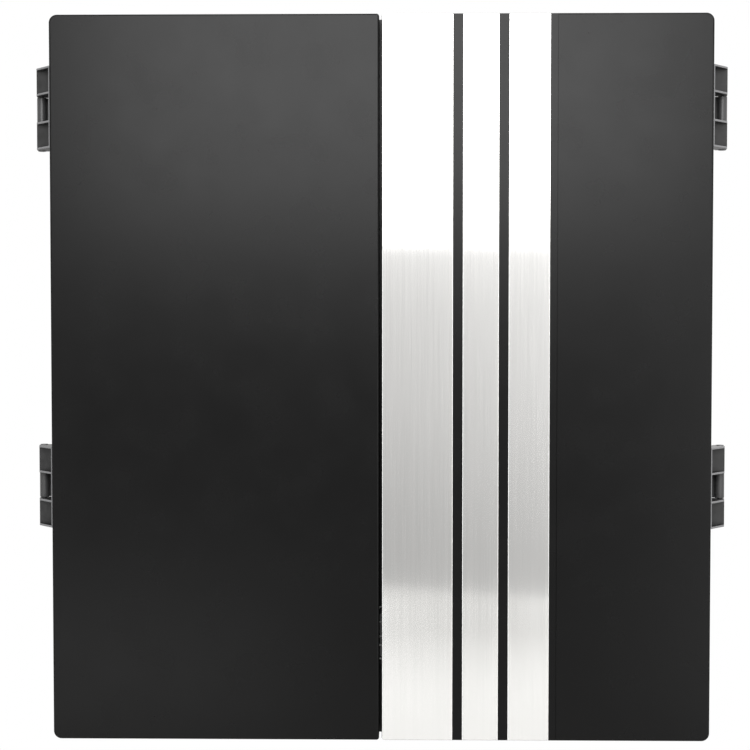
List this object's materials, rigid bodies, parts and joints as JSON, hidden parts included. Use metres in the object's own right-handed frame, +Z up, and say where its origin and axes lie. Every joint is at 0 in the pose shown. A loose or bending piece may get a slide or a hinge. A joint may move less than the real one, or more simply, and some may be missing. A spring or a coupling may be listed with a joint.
{
  "type": "dart board cabinet",
  "caption": "Wall cabinet with two hinged doors, brushed metal strips on one, that shuts over a soft-tip dart target with a control panel, and holds darts inside its doors.",
  "frame": {"origin": "centre of the cabinet's back face, on the wall", "axes": "+Z up, +Y into the wall, so the doors face -Y; +X to the right as seen from the room"},
  "size_m": [0.53, 0.0695, 0.55],
  "materials": {
    "black_satin": "satin moulded plastic",
    "black_matt": "fine matt moulded plastic",
    "brushed_aluminium": "brushed lengthways, clear anodised",
    "steel": "zinc plated",
    "segment_red": "moulded",
    "segment_green": "moulded",
    "segment_cream": "moulded",
    "sensor_film": "printed film",
    "foam": "closed-cell foam",
    "fibreboard": "hardboard",
    "circuit": "solder mask on laminate",
    "display": "smoked window",
    "silicone": "silicone rubber"
  },
  "bodies": {
    "case": {"backing_board": "fibreboard", "bracket_screw_lower_left_high": "steel", "bracket_screw_lower_left_low": "steel", "bracket_screw_lower_right_high": "steel", "bracket_screw_lower_right_low": "steel", "bracket_screw_upper_left_high": "steel", "bracket_screw_upper_left_low": "steel", "bracket_screw_upper_right_high": "steel", "bracket_screw_upper_right_low": "steel", "case_screw_1": "steel", "case_screw_2": "steel", "case_screw_3": "steel", "case_screw_4": "steel", "catch_plate_left": "steel", "catch_plate_right": "steel", "control_board": "circuit", "display_lens": "display", "display_module": "display", "double_ring": "segment_red", "foam_pad": "foam", "front_housing": "black_satin", "hinge_bracket_lower_left": "black_matt", "hinge_bracket_lower_right": "black_matt", "hinge_bracket_upper_left": "black_matt", "hinge_bracket_upper_right": "black_matt", "inner_single_ring": "segment_cream", "keypad_left": "silicone", "keypad_right": "silicone", "number_ring": "black_matt", "outer_single_ring": "segment_cream", "power_jack": "black_matt", "rear_housing": "black_matt", "ribbon_cable": "sensor_film", "sensor_membrane": "sensor_film", "speaker": "black_matt", "target_spider": "black_matt", "treble_ring": "segment_green"},
    "left_door": {"left_door": "black_satin", "dart_holder_left": "black_matt", "door_magnet_left": "steel", "hinge_pin_upper_left": "steel", "hinge_pin_lower_left": "steel"},
    "right_door": {"right_door": "black_satin", "dart_holder_right": "black_matt", "door_magnet_right": "steel", "hinge_pin_upper_right": "steel", "hinge_pin_lower_right": "steel", "trim_strip_wide": "brushed_aluminium", "trim_strip_middle": "brushed_aluminium", "trim_strip_outer": "brushed_aluminium"},
    "button_hold": {"button_hold": "silicone"},
    "button_page": {"button_page": "silicone"},
    "button_game": {"button_game": "silicone"},
    "button_power": {"button_power": "silicone"},
    "button_start": {"button_start": "silicone"},
    "button_player": {"button_player": "silicone"},
    "button_miss": {"button_miss": "silicone"},
    "button_sound": {"button_sound": "silicone"},
    "outer_bull": {"outer_bull": "segment_green"},
    "inner_bull": {"inner_bull": "segment_red"}
  },
  "joints": [
    {"name": "left_door_hinge", "type": "hinge", "parent": "case", "child": "left_door", "pos_m": [-0.2613, -0.043, 0], "axis": [0, 0, -1], "range_deg": [0, 180]},
    {"name": "right_door_hinge", "type": "hinge", "parent": "case", "child": "right_door", "pos_m": [0.2613, -0.043, 0], "axis": [0, 0, 1], "range_deg": [0, 180]},
    {"name": "button_hold_press", "type": "slide", "parent": "case", "child": "button_hold", "axis": [0, 1, 0], "range_m": [0, 0.0012], "stiffness_N_per_m": 400, "springref_m": -0.001},
    {"name": "button_page_press", "type": "slide", "parent": "case", "child": "button_page", "axis": [0, 1, 0], "range_m": [0, 0.0012], "stiffness_N_per_m": 400, "springref_m": -0.001},
    {"name": "button_game_press", "type": "slide", "parent": "case", "child": "button_game", "axis": [0, 1, 0], "range_m": [0, 0.0012], "stiffness_N_per_m": 400, "springref_m": -0.001},
    {"name": "button_power_press", "type": "slide", "parent": "case", "child": "button_power", "axis": [0, 1, 0], "range_m": [0, 0.0012], "stiffness_N_per_m": 400, "springref_m": -0.001},
    {"name": "button_start_press", "type": "slide", "parent": "case", "child": "button_start", "axis": [0, 1, 0], "range_m": [0, 0.0012], "stiffness_N_per_m": 400, "springref_m": -0.001},
    {"name": "button_player_press", "type": "slide", "parent": "case", "child": "button_player", "axis": [0, 1, 0], "range_m": [0, 0.0012], "stiffness_N_per_m": 400, "springref_m": -0.001},
    {"name": "button_miss_press", "type": "slide", "parent": "case", "child": "button_miss", "axis": [0, 1, 0], "range_m": [0, 0.0012], "stiffness_N_per_m": 400, "springref_m": -0.001},
    {"name": "button_sound_press", "type": "slide", "parent": "case", "child": "button_sound", "axis": [0, 1, 0], "range_m": [0, 0.0012], "stiffness_N_per_m": 400, "springref_m": -0.001},
    {"name": "outer_bull_press", "type": "slide", "parent": "case", "child": "outer_bull", "axis": [0, 1, 0], "range_m": [0, 0.001], "stiffness_N_per_m": 800, "springref_m": -0.0005},
    {"name": "inner_bull_press", "type": "slide", "parent": "case", "child": "inner_bull", "axis": [0, 1, 0], "range_m": [0, 0.001], "stiffness_N_per_m": 800, "springref_m": -0.0005}
  ]
}
